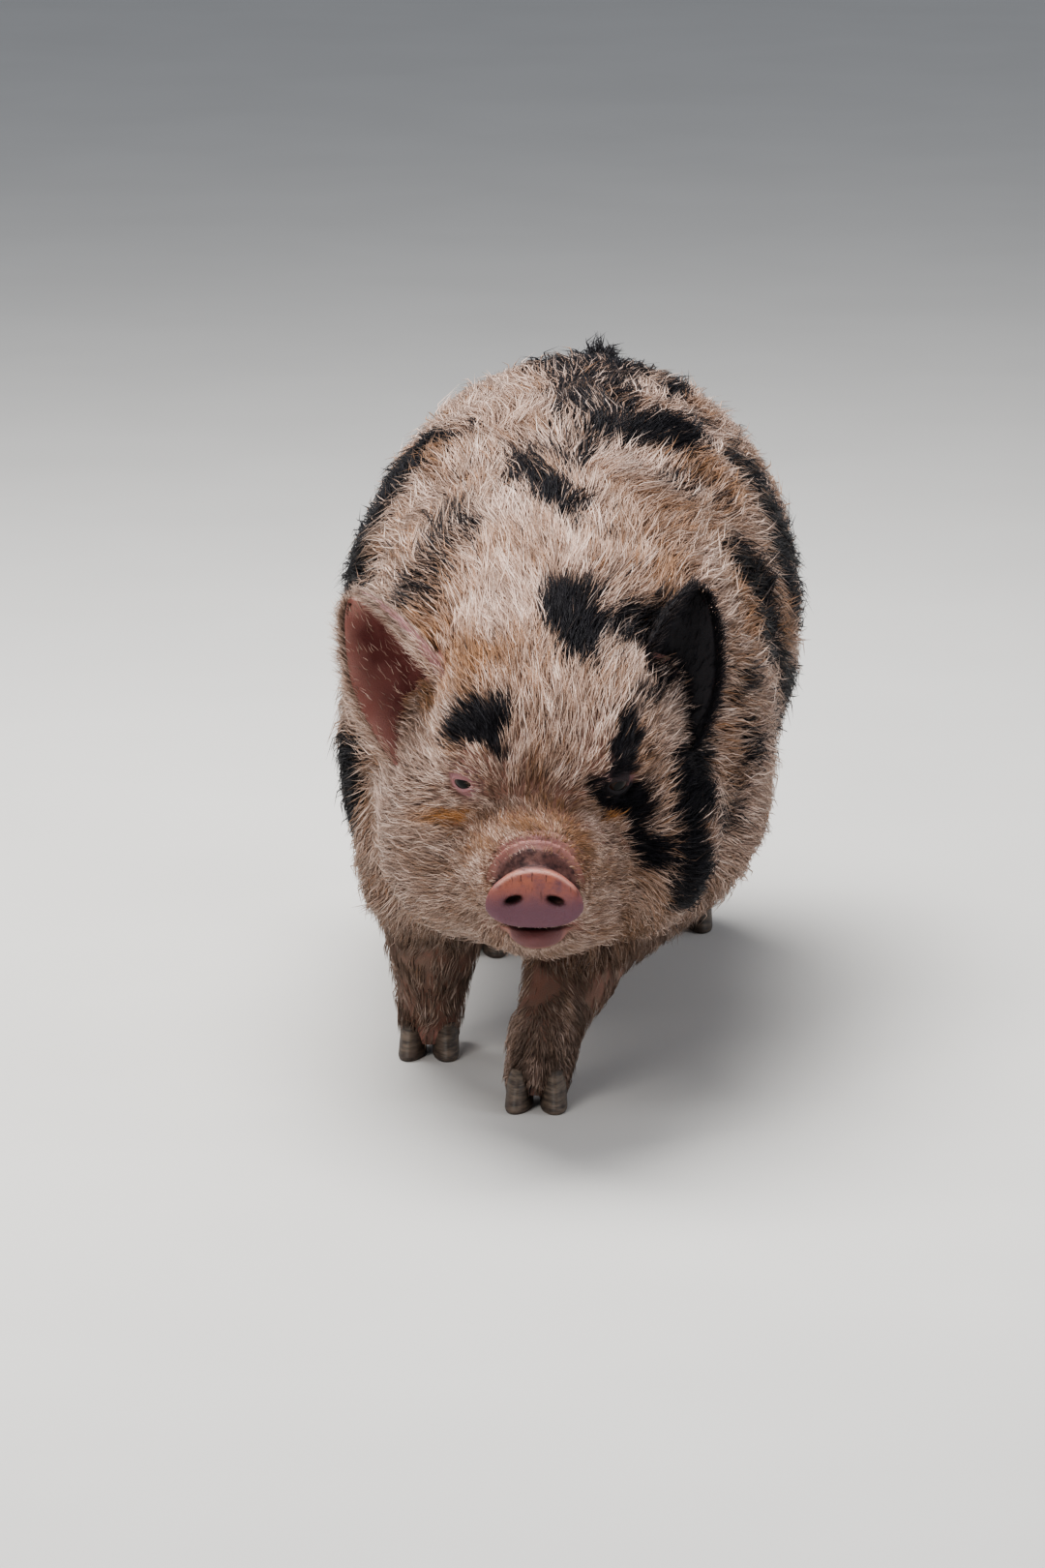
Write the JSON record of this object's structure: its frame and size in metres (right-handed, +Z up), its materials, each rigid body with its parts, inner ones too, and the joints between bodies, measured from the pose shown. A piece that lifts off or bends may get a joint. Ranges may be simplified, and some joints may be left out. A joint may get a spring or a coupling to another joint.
{
  "type": "kunekune pig model",
  "caption": "Life-size still model of a walking kunekune pig with a bristly, black-spotted cream coat, pricked ears and a short snout.",
  "frame": {"origin": "on the floor under the middle of the animal's bounding box", "axes": "+Z up, -Y towards the snout, +X towards the pig's left side"},
  "size_m": [0.4111, 1.0799, 0.557],
  "materials": {
    "coat": "bristly cream and ginger hair with soft-edged black patches over pink skin",
    "black_coat": "black bristles",
    "black_skin": "black skin with short sparse hair",
    "pink_skin": "pink skin with short pale hair",
    "snout_skin": "bare moist skin, orange pink above and mauve below",
    "eye": "wet dark brown",
    "hoof": "worn dark horn"
  },
  "bodies": {
    "root": {"torso": "coat", "neck": "coat", "head": "coat", "snout": "snout_skin", "tail": "black_coat", "eye_left": "eye", "eye_right": "eye", "ear_left": "black_skin", "ear_right": "pink_skin", "leg_fore_left": "coat", "hoof_fore_left_outer": "hoof", "dewclaw_fore_left_outer": "hoof", "hoof_fore_left_inner": "hoof", "dewclaw_fore_left_inner": "hoof", "leg_fore_right": "coat", "hoof_fore_right_outer": "hoof", "dewclaw_fore_right_outer": "hoof", "hoof_fore_right_inner": "hoof", "dewclaw_fore_right_inner": "hoof", "leg_hind_left": "coat", "hoof_hind_left_outer": "hoof", "dewclaw_hind_left_outer": "hoof", "hoof_hind_left_inner": "hoof", "dewclaw_hind_left_inner": "hoof", "leg_hind_right": "coat", "hoof_hind_right_outer": "hoof", "dewclaw_hind_right_outer": "hoof", "hoof_hind_right_inner": "hoof", "dewclaw_hind_right_inner": "hoof"}
  },
  "joints": []
}
